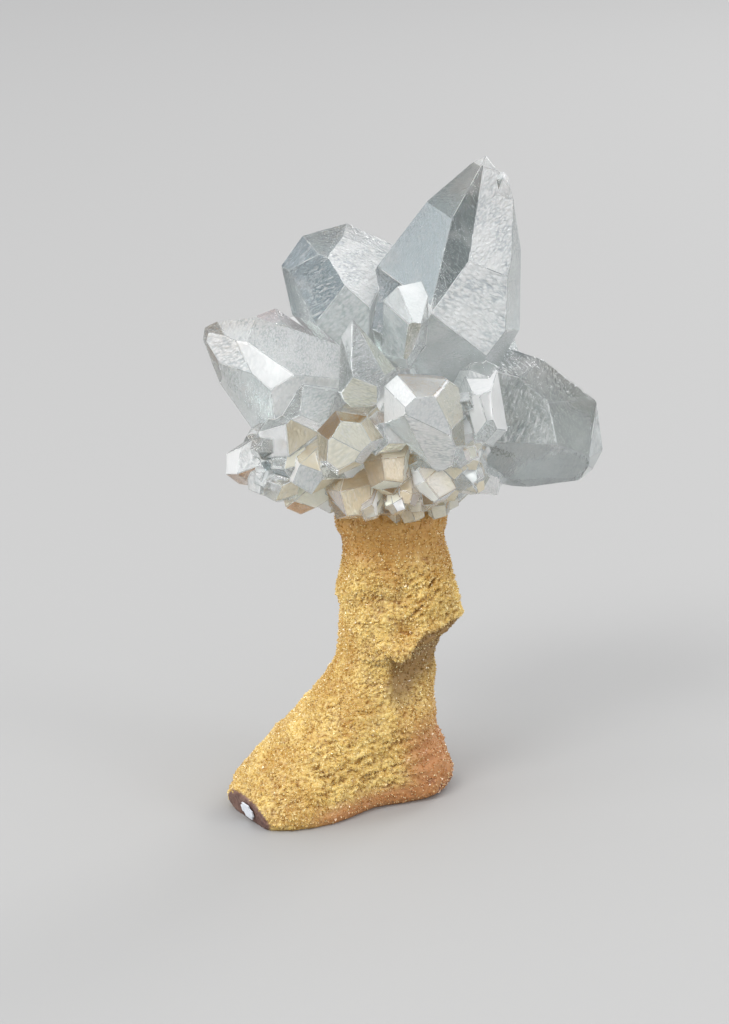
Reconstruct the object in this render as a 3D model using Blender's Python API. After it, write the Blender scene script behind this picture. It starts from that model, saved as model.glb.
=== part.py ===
"""A calcite specimen: a cluster of clear crystals grown round the end of an ochre stalactite.

Everything is laid out in millimetres, seen from the front: X to the right, Y away from the viewer and Z up.
The underside of the foot lies on Z = 0, and the origin is under the middle of the whole outline.
"""

import math
import random

import bmesh
import bpy
import numpy as np
from mathutils import Vector, noise

MM = 0.001
GAP = 0.3
CALCITE_IOR = 1.6
CLEAR = (0.93, 0.96, 0.97)
OCHRE = (0.72, 0.44, 0.16)
PAPER = (0.80, 0.82, 0.86)

# The middle of the whole outline in this layout, which the finished pieces stand over the origin with
OUTLINE_MIDDLE = (0.75, 2.0)

# The stalactite's outline at each height: the height, its left, right, front and back edges, and how far the
# toe reaches past them
STALACTITE_STATIONS = (
    (0.0, -37.0, 11.0, -17.0, 16.0, 22.5),
    (1.6, -39.0, 13.0, -18.5, 18.0, 22.5),
    (5.0, -40.0, 13.6, -19.0, 19.0, 21.0),
    (10.0, -38.0, 12.0, -19.0, 18.5, 17.0),
    (15.0, -34.0, 9.6, -18.0, 17.5, 13.0),
    (20.0, -29.5, 8.6, -17.5, 16.5, 8.5),
    (25.0, -25.2, 8.6, -16.5, 15.5, 5.0),
    (30.0, -21.6, 8.0, -15.5, 14.5, 2.5),
    (36.0, -17.8, 8.6, -14.5, 13.5, 0.5),
    (42.0, -16.8, 11.0, -14.6, 13.5, 0.0),
    (48.0, -16.4, 13.4, -14.8, 14.0, 0.0),
    (53.0, -16.8, 14.6, -15.0, 14.5, 0.0),
    (60.0, -16.8, 13.2, -14.4, 14.0, 0.0),
    (66.0, -15.9, 11.4, -13.6, 13.0, 0.0),
    (71.0, -16.2, 10.6, -13.4, 13.0, 0.0),
    (75.5, -18.4, 11.6, -13.8, 13.8, 0.0),
    (78.0, -17.0, 11.3, -13.4, 13.4, 0.0),
)
TOE_HEADING = -126.0
TOE_SHARPNESS = 5
SECTION_SQUARENESS = 2.3
AROUND = 50
LEVELS = 42
DOME_TOP = 94.0
DOME_LEVELS = 5

# The stalactite's relief. A band has four edges: what it stands for fades in between the first two and fades
# out between the last two.
LUMPS = ((0.9, 7.5), (0.55, 3.4))
RIB_RELIEF = 0.45
RIB_SPACING = 1.9
RIB_SLANT = 6.0
RIB_BAND = (44.0, 50.0, 58.0, 64.0)
RIPPLE_RELIEF = 0.45
RIPPLE_SPACING = 0.65
RIPPLE_WANDER = 4.0
RIPPLE_BAND = (6.0, 10.0, 17.0, 24.0)
SMOOTH_BAND = (64.0, 73.0)
SMOOTH_SHARE = 0.65
FOOT_EDGE = (0.5, 5.0)
FOOT_EDGE_SHARE = 0.65

# The oblique flow on the stalactite's right front, between two headings, and the hollow under it
LEDGE_HEADINGS = (-110.0, -20.0)
LEDGE_FADE = (-0.2, 0.1, 0.95, 1.25)
LEDGE_HEIGHTS = (39.5, 47.0)
LEDGE_CURVE = 1.4
LEDGE_PROUD = 2.2
LEDGE_BAND = (-0.6, 1.2, 1.2, 9.0)
HOLLOW_DEPTH = 1.6
HOLLOW_BAND = (-17.0, -6.0, -2.0, 0.4)
HOLLOW_START = (0.25, 0.5)

# The broken end of the toe, and the paper label glued on it
BREAK_POINT = (-34.0, -38.5, 0.0)
BREAK_FACES = (-0.82, -0.48, -0.30)
LABEL_SIZE = (6.0, 4.2, 0.4)
LABEL_CORNER = 1.2
LABEL_POINT = (-41.0, -29.0, 3.4)

# The mass of grown-together crystals round the stalactite's end
HEART_CENTRE = (-2.0, 2.0, 99.0)
HEART_SIZE = (46.0, 40.0, 42.0)
SOCKET_START = 58.0

# Each large crystal is cut by its faces. "rim" goes round its outline as seen from the front: the direction of
# an edge in degrees (0 right, 90 up), its distance from the crystal's centre, and how far the front and the back
# face at that edge turn towards and away from the viewer. "tables" are the other faces: the direction, the turn
# towards the viewer, and the distance.
LARGE_CRYSTALS = {
    "tall_point": {
        "centre": (14.0, 5.0, 137.0),
        "rim": (
            (116, 28.5, 22, 30), (131, 22.8, 27, 34), (143, 20.4, 29, 36), (160, 21.8, 30, 30),
            (-150, 27.0, 24, 20), (-90, 40.0, 10, 10), (-29, 20.0, 22, 24), (0, 16.8, 20, 26),
            (9, 18.2, 20, 30), (41, 28.6, 30, 34),
        ),
        "tables": (
            (27, 42, 17.8), (4, 53, 16.8), (131, 26, 20.6), (93, 55, 21.5), (-60, 62, 22.0),
            (48, -44, 22.5), (150, -52, 17.5), (-20, -60, 16.0),
        ),
    },
    "white_point": {
        "centre": (2.0, -12.0, 132.0),
        "rim": (
            (136, 9.1, 30, 20), (102, 9.8, 30, 20), (21, 8.9, 24, 20), (-14, 6.6, 20, 20),
            (-40, 8.5, 24, 20), (-126, 11.8, 24, 20), (179, 7.6, 28, 20),
        ),
        "tables": ((98, 60, 12.9), (-161, 64, 11.0), (-50, 62, 12.0)),
    },
    "upper_left": {
        "centre": (-20.0, 14.0, 136.0),
        "rim": (
            (106, 14.7, 24, 24), (145, 13.2, 30, 30), (-168, 11.1, 30, 30), (-138, 12.6, 24, 24),
            (-83, 22.0, 10, 10), (-6, 18.0, 20, 20), (65, 17.3, 30, 28),
        ),
        "tables": (
            (172, 50, 9.6), (63, 40, 14.2), (-164, 64, 12.0),
            (110, -48, 11.5), (20, -55, 12.5), (-150, -62, 11.0),
        ),
    },
    "left": {
        "centre": (-36.0, -4.0, 117.0),
        "rim": (
            (117, 17.6, 30, 26), (171, 17.7, 30, 30), (-160, 12.8, 28, 30), (-146, 12.2, 34, 30),
            (-116, 16.0, 34, 26), (-65, 23.7, 20, 20), (-2, 24.0, 10, 10), (71, 12.7, 30, 26),
            (96, 14.5, 26, 26),
        ),
        "tables": (
            (125, 68, 12.1), (96, 28, 13.3), (179, 51, 11.2), (-149, 44, 9.5), (-60, 64, 13.6),
            (120, -52, 11.8), (-140, -58, 10.5),
        ),
    },
    "right": {
        "centre": (38.0, 14.0, 96.0),
        "rim": (
            (71, 18.4, 26, 24), (52, 15.2, 28, 28), (8, 15.2, 26, 30), (-26, 16.8, 26, 30),
            (-50, 16.9, 30, 30), (-80, 15.6, 32, 30), (-101, 16.8, 26, 24), (180, 24.0, 10, 10),
        ),
        "tables": (
            (51, 34, 12.5), (57, 69, 12.6), (29, 46, 11.0), (-84, 47, 10.0), (9, 29, 13.2),
            (48, -50, 12.5), (-55, -56, 11.5), (120, -66, 13.0),
        ),
    },
    "front_block": {
        "centre": (7.0, -24.0, 109.0),
        "rim": (
            (131, 14.6, 22, 10), (85, 10.8, 10, 10), (53, 10.7, 18, 10), (4, 8.2, 20, 10),
            (-29, 11.1, 24, 10), (-68, 14.0, 30, 10), (-134, 9.4, 30, 10), (180, 12.3, 22, 10),
        ),
        "tables": ((-16, 75, 10.4), (-101, 51, 8.1), (21, 20, 7.3)),
    },
    "amber_block": {
        "centre": (-16.0, -25.0, 103.0),
        "rim": (
            (138, 6.9, 20, 10), (80, 8.0, 12, 10), (35, 9.4, 22, 10), (-38, 7.7, 26, 10),
            (-65, 7.5, 26, 10), (-127, 7.8, 26, 10), (-176, 6.4, 23, 10),
        ),
        "tables": ((-116, 72, 6.5), (60, 66, 7.4)),
    },
    "middle_left": {
        "centre": (-11.0, -18.0, 121.0),
        "rim": (
            (148, 8.9, 24, 10), (177, 5.8, 24, 10), (-147, 8.6, 24, 10), (-80, 10.5, 24, 10),
            (-23, 8.2, 24, 10), (40, 6.6, 24, 10),
        ),
        "tables": ((148, 41, 6.7), (64, 56, 5.8), (-109, 46, 6.6)),
    },
    "bright_right": {
        "centre": (21.0, -12.0, 108.0),
        "rim": (
            (95, 10.7, 24, 10), (10, 5.1, 18, 12), (-42, 8.0, 26, 12), (-83, 9.8, 24, 10),
            (-169, 7.0, 20, 10), (164, 8.2, 20, 10),
        ),
        "tables": ((40, 62, 9.4), (-50, 58, 9.0), (170, 66, 9.6)),
    },
}

# Middling crystals, each from its foot to its tip: foot, tip, width, and turn about its own length
MIDDLING_CRYSTALS = (
    # Those seen from the front
    ((-22, 10, 112), (-39, 13, 128), 13, 20),
    ((-20, 0, 110), (-28, -9, 118), 14, 70),
    ((10, -8, 98), (18, -19, 90), 11, 50),
    ((12, -4, 98), (21, -11, 89), 11, 5),
    ((14, 0, 94), (21, -3, 84), 9, 80),
    ((-24, 0, 98), (-47, -5, 89), 14, 35),
    ((-20, -4, 96), (-41, -9, 86), 12, 10),
    ((-16, -6, 94), (-31, -13, 82), 12, 55),
    ((-24, -6, 106), (-36, -17, 97), 14, 25),
    ((-16, -8, 98), (-29, -21, 91), 13, 95),
    ((-10, -8, 92), (-15, -24, 83), 14, 15),
    ((-4, -8, 94), (-3, -24, 89), 13, 75),
    ((4, -8, 94), (9, -25, 88), 13, 40),
    ((-6, -10, 104), (-4, -26, 103), 12, 20),
    ((-22, -4, 110), (-27, -20, 109), 15, 0),
    ((0, -8, 112), (-4, -24, 116), 13, 30),
    ((16, -4, 114), (22, -15, 118), 11, 60),
    ((18, 6, 146), (26, 5, 168), 9, 100),
    # Those that only the sides and the back show
    ((0, 6, 108), (4, 30, 137), 24, 10),
    ((-10, 8, 106), (-28, 34, 124), 22, 45),
    ((8, 8, 106), (30, 34, 117), 22, 25),
    ((-10, 6, 100), (-42, 26, 105), 20, 5),
    ((2, 8, 100), (8, 41, 104), 21, 50),
    ((-6, 8, 98), (-16, 37, 95), 17, 15),
    ((8, 6, 98), (28, 33, 90), 18, 40),
    ((-8, 4, 94), (-30, 24, 86), 15, 30),
    ((4, 4, 94), (12, 30, 84), 15, 0),
    ((6, 2, 94), (27, 14, 81), 13, 20),
    ((-14, 0, 96), (-40, 10, 91), 15, 65),
)

# The skirt of small crystals where the cluster meets the stalactite, in rows from the lowest up: how many, the
# height of their feet, then the least and the most of the tips' height, of their reach from the axis and of
# their width
SKIRT_ROWS = (
    (16, 87.0, (79.5, 82.5), (18.5, 21.5), (6.0, 8.5)),
    (15, 91.0, (84.0, 88.0), (22.0, 27.0), (7.5, 11.0)),
    (11, 97.0, (91.0, 97.0), (25.0, 30.0), (9.0, 13.0)),
)
SKIRT_AXIS = (-3.0, 0.0)
SKIRT_START = 9.0
SKIRT_STRAY = 8.0

# Crowds of small crystals on the larger ones: how many, then the least and the most of their tips' heading in
# degrees from the skirt's axis, of their tips' height, of their reach from the axis, and of their width. Each is
# rooted this far inside its tip.
CROWDS = (
    (16, (172.0, 212.0), (87.0, 100.0), (34.0, 42.0), (5.5, 8.0)),
    (12, (-56.0, -34.0), (88.0, 116.0), (28.0, 31.0), (5.0, 7.0)),
    (12, (212.0, 300.0), (82.0, 87.0), (22.0, 26.0), (4.0, 6.0)),
)
CROWD_ROOT = 7.0

# Calcite's habit: six steep faces in three pairs, three blunter ones that end the point, and a root hidden in
# the cluster. The leans are in degrees towards the tip.
PAIR_SPREAD = 24.0
STEEP_LEAN = 9.0
BLUNT_LEAN = 47.0
ROOT_LEAN = -60.0
ROOT_REACH = 0.45
POINT_SHOULDER = 0.35

# What counts as one corner, one face and one direction when a crystal is cut
SAME_CORNER = 0.02
SAME_FACE = math.radians(0.5)
SAME_DIRECTION = 1e-4
ON_FACE = 1e-6


def blend(low, high, share):
    """The value that lies this share of the way from low to high."""
    return low + (high - low) * share


def smooth_step(low, high, value):
    """0 below low, 1 above high, and an even slope between."""
    share = min(max((value - low) / (high - low), 0.0), 1.0)
    return share * share * (3 - 2 * share)


def band(edges, value):
    """1 between the inner two of the four edges, 0 outside the outer two, and an even slope between."""
    rise_start, rise_end, fall_start, fall_end = edges
    return smooth_step(rise_start, rise_end, value) * (1 - smooth_step(fall_start, fall_end, value))


def clear_scene():
    for old in list(bpy.data.objects):
        bpy.data.objects.remove(old, do_unlink=True)


def make_material(name, colour, roughness, transmission=0.0, ior=1.5):
    """A plain Principled material."""
    material = bpy.data.materials.new(name)
    material.use_nodes = True
    shader = material.node_tree.nodes["Principled BSDF"]
    shader.inputs["Base Color"].default_value = (*colour, 1.0)
    shader.inputs["Roughness"].default_value = roughness
    shader.inputs["Metallic"].default_value = 0.0
    shader.inputs["Transmission Weight"].default_value = transmission
    shader.inputs["IOR"].default_value = ior
    material.diffuse_color = (*colour, 1.0)
    return material


def make_object(name, shape, material):
    """An object from a bmesh laid out in millimetres."""
    bmesh.ops.translate(shape, vec=(-OUTLINE_MIDDLE[0], -OUTLINE_MIDDLE[1], 0), verts=shape.verts)
    bmesh.ops.scale(shape, vec=(MM, MM, MM), verts=shape.verts)
    mesh = bpy.data.meshes.new(name)
    shape.to_mesh(mesh)
    shape.free()
    mesh.materials.append(material)
    made = bpy.data.objects.new(name, mesh)
    bpy.context.scene.collection.objects.link(made)
    return made


def make_helper(made):
    """Keeps a shape out of the model: it only takes part in a Boolean."""
    made.hide_render = True
    made.display_type = "WIRE"
    return made


def facing(around, toward):
    """The direction of a face: around in the front view, then turned towards the viewer."""
    turn = math.radians(around)
    tilt = math.radians(toward)
    return np.array([
        math.cos(tilt) * math.cos(turn),
        -math.sin(tilt),
        math.cos(tilt) * math.sin(turn),
    ])


def corners_of(faces):
    """The corners of the convex body that these faces cut out: each lies on three faces and outside none."""
    normals = np.array([normal for normal, _ in faces])
    distances = np.array([distance for _, distance in faces])
    corners = []
    count = len(faces)
    for i in range(count):
        for j in range(i + 1, count):
            for k in range(j + 1, count):
                three = normals[[i, j, k]]
                if abs(np.linalg.det(three)) < SAME_DIRECTION:
                    continue
                corner = np.linalg.solve(three, distances[[i, j, k]])
                if (normals @ corner <= distances + ON_FACE).all():
                    corners.append(corner)
    return corners


def convex_shape(faces, centre):
    """A bmesh of the convex body, with one polygon for each face."""
    shape = bmesh.new()
    for corner in corners_of(faces):
        shape.verts.new(Vector(corner) + Vector(centre))
    bmesh.ops.remove_doubles(shape, verts=shape.verts, dist=SAME_CORNER)
    hull = bmesh.ops.convex_hull(shape, input=shape.verts)
    bmesh.ops.delete(shape, geom=hull["geom_interior"] + hull["geom_unused"], context="VERTS")
    bmesh.ops.dissolve_limit(shape, angle_limit=SAME_FACE, verts=shape.verts, edges=shape.edges)
    bmesh.ops.recalc_face_normals(shape, faces=shape.faces)
    return shape


def large_crystal(name, cut, material):
    faces = []
    for around, out, front, back in cut["rim"]:
        for toward in (front, -back):
            normal = facing(around, toward)
            rim_point = facing(around, 0) * out
            faces.append((normal, float(normal @ rim_point)))
    for around, toward, out in cut["tables"]:
        faces.append((facing(around, toward), out))
    return make_helper(make_object(name, convex_shape(faces, cut["centre"]), material))


def leaning(around, lean):
    """A direction in a crystal's own frame: around its length, then leaning towards its tip."""
    turn = math.radians(around)
    tilt = math.radians(lean)
    return Vector((
        math.cos(turn) * math.cos(tilt),
        math.sin(turn) * math.cos(tilt),
        math.sin(tilt),
    ))


def pointed_crystal(name, foot, tip, width, turn, material):
    """A calcite point: three pairs of steep faces that narrow to the tip, blunted by three faces."""
    foot = Vector(foot)
    length = (Vector(tip) - foot).length
    to_layout = (Vector(tip) - foot).to_track_quat("Z", "X").to_matrix()
    steep = math.radians(STEEP_LEAN)
    steep_reach = width / 2 * math.cos(steep) + length * POINT_SHOULDER * math.sin(steep)
    blunt_reach = length * math.sin(math.radians(BLUNT_LEAN))
    faces = []
    for third in range(3):
        heading = turn + 120 * third
        own_faces = (
            (leaning(heading - PAIR_SPREAD, STEEP_LEAN), steep_reach),
            (leaning(heading + PAIR_SPREAD, STEEP_LEAN), steep_reach),
            (leaning(heading + 60, BLUNT_LEAN), blunt_reach),
            (leaning(heading, ROOT_LEAN), width * ROOT_REACH),
        )
        for direction, reach in own_faces:
            faces.append((np.array(to_layout @ direction), reach))
    return make_helper(make_object(name, convex_shape(faces, foot), material))


def heart(material):
    """The middle of the cluster, where the crystals have grown into one another."""
    half = [side / 2 for side in HEART_SIZE]
    faces = []
    for axis in range(3):
        for sign in (-1, 1):
            normal = np.zeros(3)
            normal[axis] = sign
            faces.append((normal, half[axis]))
    for x in (-1, 1):
        for y in (-1, 1):
            for z in (-1, 1):
                normal = np.array([x, y, z]) / math.sqrt(3)
                faces.append((normal, sum(half) / 3))
    return make_object("crystal_cluster", convex_shape(faces, HEART_CENTRE), material)


def skirt_crystals(material):
    made = []
    draw = random.Random(11)
    axis = Vector((*SKIRT_AXIS, 0.0))
    for row, (count, foot_height, tip_heights, reaches, widths) in enumerate(SKIRT_ROWS):
        for step in range(count):
            stray = draw.uniform(-SKIRT_STRAY, SKIRT_STRAY)
            heading = math.radians(360 * (step + 0.5 * row) / count + stray)
            across = Vector((math.cos(heading), math.sin(heading), 0.0))
            foot = axis + across * SKIRT_START + Vector((0, 0, foot_height))
            tip = axis + across * draw.uniform(*reaches) + Vector((0, 0, draw.uniform(*tip_heights)))
            width = draw.uniform(*widths)
            turn = draw.uniform(0, 120)
            made.append(pointed_crystal(f"skirt_{row}_{step}", foot, tip, width, turn, material))
    return made


def crowd_crystals(material):
    made = []
    draw = random.Random(14)
    axis = Vector((*SKIRT_AXIS, 0.0))
    for group, (count, headings, heights, reaches, widths) in enumerate(CROWDS):
        for step in range(count):
            heading = math.radians(blend(*headings, (step + draw.random()) / count))
            across = Vector((math.cos(heading), math.sin(heading), 0.0))
            tip = axis + across * draw.uniform(*reaches) + Vector((0, 0, draw.uniform(*heights)))
            outward = (tip - Vector(HEART_CENTRE)).normalized()
            foot = tip - outward * CROWD_ROOT
            width = draw.uniform(*widths)
            turn = draw.uniform(0, 120)
            made.append(pointed_crystal(f"crowd_{group}_{step}", foot, tip, width, turn, material))
    return made


def station_values(height):
    """The stalactite's edges and toe at this height, on a smooth curve through the stations."""
    stations = STALACTITE_STATIONS
    above = next((i for i, row in enumerate(stations) if row[0] >= height), len(stations) - 1)
    above = max(above, 1)
    low, high = stations[above - 1], stations[above]
    before = stations[max(above - 2, 0)]
    after = stations[min(above + 1, len(stations) - 1)]
    span = high[0] - low[0]
    share = min(max((height - low[0]) / span, 0.0), 1.0)
    values = []
    for column in range(1, 6):
        start_slope = (high[column] - before[column]) / (high[0] - before[0]) * span
        end_slope = (after[column] - low[column]) / (after[0] - low[0]) * span
        square, cube = share ** 2, share ** 3
        values.append(
            (2 * cube - 3 * square + 1) * low[column]
            + (cube - 2 * square + share) * start_slope
            + (3 * square - 2 * cube) * high[column]
            + (cube - square) * end_slope
        )
    return values


def ledge_relief(heading, height):
    """How far the oblique flow stands out here, and how deep the hollow under it goes."""
    first, last = LEDGE_HEADINGS
    along = (math.degrees(heading) - first) / (last - first)
    lip = blend(LEDGE_HEIGHTS[0], LEDGE_HEIGHTS[1], max(along, 0.0) ** LEDGE_CURVE)
    above = height - lip
    flow = LEDGE_PROUD * band(LEDGE_BAND, above)
    hollow = HOLLOW_DEPTH * band(HOLLOW_BAND, above) * smooth_step(*HOLLOW_START, along)
    return band(LEDGE_FADE, along) * (flow - hollow)


def stalactite_relief(heading, height, spot):
    """Lumps, slanting ribs, ripples over the toe and the ledge, as a distance outwards."""
    rough = 0.0
    for number, (relief, width) in enumerate(LUMPS):
        rough += relief * noise.noise(spot / width + Vector((9, 4, 2)) * number)
    ribs = math.sin((height - RIB_SLANT * heading) / RIB_SPACING)
    rough += RIB_RELIEF * ribs * band(RIB_BAND, height)
    wander = RIPPLE_WANDER * noise.noise(spot / LUMPS[0][1])
    ripples = math.sin(height / RIPPLE_SPACING + wander)
    on_front = smooth_step(0.0, 0.5, -math.sin(heading))
    rough += RIPPLE_RELIEF * ripples * band(RIPPLE_BAND, height) * on_front
    calm = 1 - SMOOTH_SHARE * smooth_step(*SMOOTH_BAND, height)
    calm *= 1 - FOOT_EDGE_SHARE * (1 - smooth_step(*FOOT_EDGE, height))
    return rough * calm + ledge_relief(heading, height)


def ring(height, grow=0.0):
    """The points of the stalactite's outline at this height."""
    left, right, front, back, toe = station_values(height)
    middle = Vector(((left + right) / 2, (front + back) / 2, height))
    half_wide = (right - left) / 2
    half_deep = (back - front) / 2
    power = SECTION_SQUARENESS
    points = []
    for step in range(AROUND):
        heading = math.radians(-180 + 360 * step / AROUND)
        across, depth = math.cos(heading), math.sin(heading)
        reach = (abs(across / half_wide) ** power + abs(depth / half_deep) ** power) ** (-1 / power)
        toe_share = max(0.0, math.cos(heading - math.radians(TOE_HEADING)))
        reach += max(toe, 0.0) * toe_share ** TOE_SHARPNESS
        spot = middle + Vector((across, depth, 0.0)) * reach
        reach += stalactite_relief(heading, height, spot) + grow
        points.append(middle + Vector((across, depth, 0.0)) * reach)
    return points


def dome_rings(grow=0.0):
    """The end of the stalactite inside the cluster, drawn in to a rounded top."""
    start = STALACTITE_STATIONS[-1][0]
    rings = []
    for level in range(1, DOME_LEVELS + 1):
        turn = math.radians(90 * level / (DOME_LEVELS + 1))
        shrink = math.cos(turn)
        height = blend(start, DOME_TOP + grow, math.sin(turn))
        last = ring(start)
        middle = sum(last, Vector()) / len(last)
        row = []
        for point in last:
            arm = point - middle
            arm *= shrink * (1 + grow / arm.length)
            row.append(Vector((middle.x + arm.x, middle.y + arm.y, height)))
        rings.append(row)
    return rings


def loft(rings):
    """A closed body through rings of points, with flat ends."""
    shape = bmesh.new()
    rows = [[shape.verts.new(point) for point in row] for row in rings]
    for lower, upper in zip(rows, rows[1:]):
        for step in range(len(lower)):
            after = (step + 1) % len(lower)
            shape.faces.new((lower[step], lower[after], upper[after], upper[step]))
    shape.faces.new(list(reversed(rows[0])))
    shape.faces.new(rows[-1])
    bmesh.ops.recalc_face_normals(shape, faces=shape.faces)
    return shape


def break_off(shape):
    """Snaps the end of the toe along one plane and closes the broken face."""
    cut = bmesh.ops.bisect_plane(
        shape,
        geom=shape.verts[:] + shape.edges[:] + shape.faces[:],
        dist=0.0001,
        plane_co=BREAK_POINT,
        plane_no=Vector(BREAK_FACES).normalized(),
        clear_outer=True,
    )
    edges = [item for item in cut["geom_cut"] if isinstance(item, bmesh.types.BMEdge)]
    bmesh.ops.holes_fill(shape, edges=edges)
    bmesh.ops.recalc_face_normals(shape, faces=shape.faces)


def ring_heights():
    top = STALACTITE_STATIONS[-1][0]
    return [top * level / LEVELS for level in range(LEVELS + 1)]


def stalactite(material):
    shape = loft([ring(height) for height in ring_heights()] + dome_rings())
    break_off(shape)
    return make_object("stalactite", shape, material)


def socket_cutter(material):
    """The stalactite's end, larger by the gap all round: the place that the cluster leaves for it."""
    heights = [height for height in ring_heights() if height > SOCKET_START]
    rings = [ring(height, GAP) for height in heights]
    return make_helper(make_object("socket_cutter", loft(rings + dome_rings(GAP)), material))


def crystal_cluster(material):
    """All the crystals as one body: the heart joined with the others, and hollowed for the stalactite."""
    grown = bpy.data.collections.new("grown_crystals")
    bpy.context.scene.collection.children.link(grown)
    crystals = [large_crystal(name, cut, material) for name, cut in LARGE_CRYSTALS.items()]
    for number, (foot, tip, width, turn) in enumerate(MIDDLING_CRYSTALS):
        crystals.append(pointed_crystal(f"middling_{number}", foot, tip, width, turn, material))
    crystals += skirt_crystals(material) + crowd_crystals(material)
    for crystal in crystals:
        bpy.context.scene.collection.objects.unlink(crystal)
        grown.objects.link(crystal)
    cluster = heart(material)
    join = cluster.modifiers.new("join", "BOOLEAN")
    join.operand_type = "COLLECTION"
    join.collection = grown
    join.operation = "UNION"
    hollow = cluster.modifiers.new("hollow", "BOOLEAN")
    hollow.object = socket_cutter(material)
    hollow.operation = "DIFFERENCE"
    return cluster


def paper_label(material):
    """A blank paper label, lying on the broken face."""
    shape = bmesh.new()
    bmesh.ops.create_cube(shape, size=1.0)
    bmesh.ops.scale(shape, vec=LABEL_SIZE, verts=shape.verts)
    upright = []
    for edge in shape.edges:
        if abs(edge.verts[0].co.z - edge.verts[1].co.z) > LABEL_SIZE[2] / 2:
            upright.append(edge)
    bmesh.ops.bevel(shape, geom=upright, offset=LABEL_CORNER, segments=3, affect="EDGES")
    outward = Vector(BREAK_FACES).normalized()
    turn = outward.to_track_quat("Z", "Y").to_matrix()
    to_face = (Vector(BREAK_POINT) - Vector(LABEL_POINT)).dot(outward)
    slide = outward * (to_face + GAP + LABEL_SIZE[2] / 2)
    for vertex in shape.verts:
        vertex.co = turn @ vertex.co + Vector(LABEL_POINT) + slide
    return make_object("paper_label", shape, material)


def main():
    clear_scene()
    clear_calcite = make_material("clear_calcite", CLEAR, 0.04, transmission=1.0, ior=CALCITE_IOR)
    ochre_calcite = make_material("ochre_calcite", OCHRE, 0.55)
    plain_paper = make_material("plain_paper", PAPER, 0.7)
    stalactite(ochre_calcite)
    crystal_cluster(clear_calcite)
    paper_label(plain_paper)


main()
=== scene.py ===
"""The looks of a calcite specimen: clear crystals grown round the end of an ochre, druse-covered stalactite.

The scene is in metres, X to the right, Y away from the viewer and Z up. Named sizes are in millimetres.
"""

import math
import random

import bmesh
import bpy
import numpy as np
from mathutils import Matrix, Vector, noise
from mathutils.bvhtree import BVHTree


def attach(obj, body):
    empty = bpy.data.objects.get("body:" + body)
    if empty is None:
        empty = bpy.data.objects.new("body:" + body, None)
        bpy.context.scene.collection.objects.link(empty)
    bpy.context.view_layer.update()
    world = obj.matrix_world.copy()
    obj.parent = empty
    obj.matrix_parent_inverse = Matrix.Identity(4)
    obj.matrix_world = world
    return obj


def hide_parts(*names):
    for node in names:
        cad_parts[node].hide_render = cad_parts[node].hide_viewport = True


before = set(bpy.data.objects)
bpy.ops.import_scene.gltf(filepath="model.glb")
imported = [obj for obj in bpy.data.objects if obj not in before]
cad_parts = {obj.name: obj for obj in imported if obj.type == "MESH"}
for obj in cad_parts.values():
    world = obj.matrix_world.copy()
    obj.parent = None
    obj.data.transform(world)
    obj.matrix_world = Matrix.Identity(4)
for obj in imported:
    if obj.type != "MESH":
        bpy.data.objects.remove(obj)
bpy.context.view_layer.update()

MM = 0.001

# The noise that bends the ridges starts from this seed, so that each run gives the same shape
noise.seed_set(7)

# The camera: its elevation in degrees, its distance, what it looks at, and its lens and sensor height
CAMERA_ELEVATION = 16.0
CAMERA_DISTANCE = 850.0
CAMERA_TARGET = (-11.05, -2.0, 77.2)
CAMERA_LENS = 111.92
SENSOR_HEIGHT = 36.0

# The floor reaches this far from the middle, in metres
FLOOR_REACH = 2.5

# The stalactite: the size of the finest shape its mesh holds, and the heights of its zones
STALACTITE_VOXEL = 0.43
BAND_HEIGHTS = (63.0, 70.0)
BREAK_POINT = (-34.75, -40.5, 0.0)
BREAK_FACES = Vector((-0.82, -0.48, -0.30)).normalized()
BREAK_DEPTH = (0.35, 1.1)

# The ledge on its right front: the X and Z that its lip runs through, and how far it stands out and is cut under
LEDGE_LIP = (
    (-6.5, 44.0), (-3.8, 42.2), (-1.2, 41.6), (1.0, 43.0), (2.9, 46.5), (5.0, 48.3), (8.0, 48.8), (12.0, 50.5),
)
LIP_RELIEF = 1.1
UNDERCUT = 0.8

# The druse: its granules, its ribs and its ripples, each with its relief, its length and its width
GRANULE_RELIEF = 0.42
GRANULE_WIDTH = 0.95
WORM = (0.45, 1.7, 1.0)
RIB = (1.0, 5.5, 1.35)
RIB_SLOPE = 38.0
RIPPLE = (0.95, 6.5, 1.5)
RIPPLE_SLOPE = 12.0
SWELL_RELIEF = 0.5
SWELL_WIDTH = 5.0
GRAIN_COUNT = 42000

# The crystals: how far a cluster vertex may lie from the stalactite and still belong to the socket, the width of
# their worn edges, the longest edge and the relief of the ripples on their facets, and the middle that they grow
# out from
SOCKET_REACH = 0.45
EDGE_WIDTH = 0.12
RIPPLE_MESH = 1.3
RIPPLE_RELIEF = 0.11
CLUSTER_MIDDLE = (-2.75, 0.0, 97.0)
# Around this point facets take warm tints, fading out over these distances: painted colour of the stalactite seen
# through the crystals
WARM_HEART = (-7.0, -16.0, 84.0)
WARM_REACH = (17.0, 33.0)
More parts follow.
